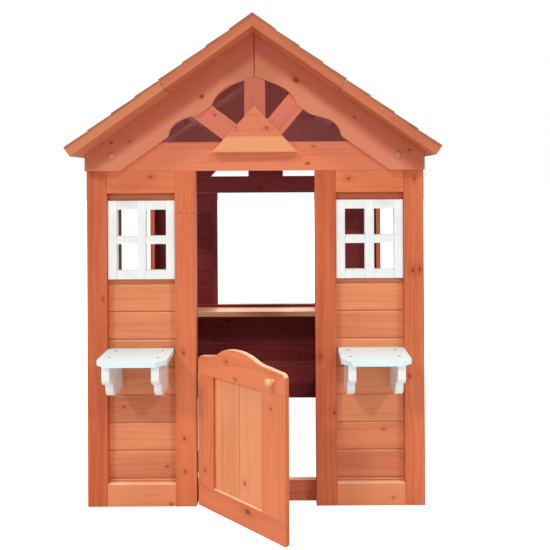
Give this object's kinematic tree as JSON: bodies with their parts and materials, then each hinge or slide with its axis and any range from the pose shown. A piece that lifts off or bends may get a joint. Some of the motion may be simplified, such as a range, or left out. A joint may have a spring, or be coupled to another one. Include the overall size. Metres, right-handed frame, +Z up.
{
  "type": "wooden playhouse",
  "caption": "Child-size wooden playhouse with a gable roof, four-pane front windows, white flower shelves, a back serving counter and an outward-opening arched half door.",
  "frame": {"origin": "on the ground, under the middle of the box that holds the house with its half door open at rest", "axes": "+Z up; -Y is the front, where the door is; +X to the right as seen from the front"},
  "size_m": [1.0336, 1.276, 1.4],
  "materials": {
    "front_wood": "reddish stained softwood, satin",
    "wall_wood": "reddish stained softwood, satin",
    "roof_wood": "reddish stained softwood, matt",
    "door_wood": "reddish stained softwood, satin",
    "white_paint": "white painted wood, satin",
    "knob_wood": "clear lacquered wood, glossy",
    "steel": "dark bronze coated",
    "bolt_cap": "golden coated, glossy"
  },
  "bodies": {
    "house": {"back_barge_boards": "wall_wood", "back_gable_planks": "wall_wood", "back_opening_frame": "wall_wood", "back_planks": "wall_wood", "back_rails": "wall_wood", "back_stiles": "wall_wood", "back_tie_beam": "wall_wood", "back_vent_blocks": "wall_wood", "barge_bolts": "bolt_cap", "flower_shelf_left": "white_paint", "flower_shelf_right": "white_paint", "front_barge_board_left": "front_wood", "front_barge_board_right": "front_wood", "front_bottom_rail_left": "front_wood", "front_bottom_rail_right": "front_wood", "front_corner_stile_left": "front_wood", "front_corner_stile_right": "front_wood", "front_door_post_left": "front_wood", "front_door_post_right": "front_wood", "front_king_post": "front_wood", "front_planks_left": "front_wood", "front_planks_right": "front_wood", "front_tie_beam": "front_wood", "front_top_rail_left": "front_wood", "front_top_rail_right": "front_wood", "gable_block": "front_wood", "gable_strut_left": "front_wood", "gable_strut_right": "front_wood", "hinge_leaves_frame": "steel", "hinge_pins": "steel", "hinge_screws_frame": "steel", "roof_boards_lower_left": "roof_wood", "roof_boards_lower_right": "roof_wood", "roof_boards_upper_left": "roof_wood", "roof_boards_upper_right": "roof_wood", "roof_frame_lower_left": "roof_wood", "roof_frame_lower_right": "roof_wood", "roof_frame_upper_left": "roof_wood", "roof_frame_upper_right": "roof_wood", "serving_counter": "wall_wood", "shelf_brackets_left": "white_paint", "shelf_brackets_right": "white_paint", "shelf_screws": "steel", "side_planks_left": "wall_wood", "side_planks_right": "wall_wood", "side_posts_left": "wall_wood", "side_posts_right": "wall_wood", "side_rails_left": "wall_wood", "side_rails_right": "wall_wood", "threshold": "wall_wood", "window_left": "white_paint", "window_right": "white_paint"},
    "door": {"door_boards": "door_wood", "door_bottom_rail": "door_wood", "door_knob": "knob_wood", "door_stile_free": "door_wood", "door_stile_hinge": "door_wood", "door_top_rail": "door_wood", "hinge_leaves_door": "steel", "hinge_screws_door": "steel"}
  },
  "joints": [
    {"name": "door_hinge", "type": "hinge", "parent": "house", "child": "door", "pos_m": [-0.17, -0.41695, 0.24], "axis": [0, 0, -1], "range_deg": [-41, 69]}
  ]
}
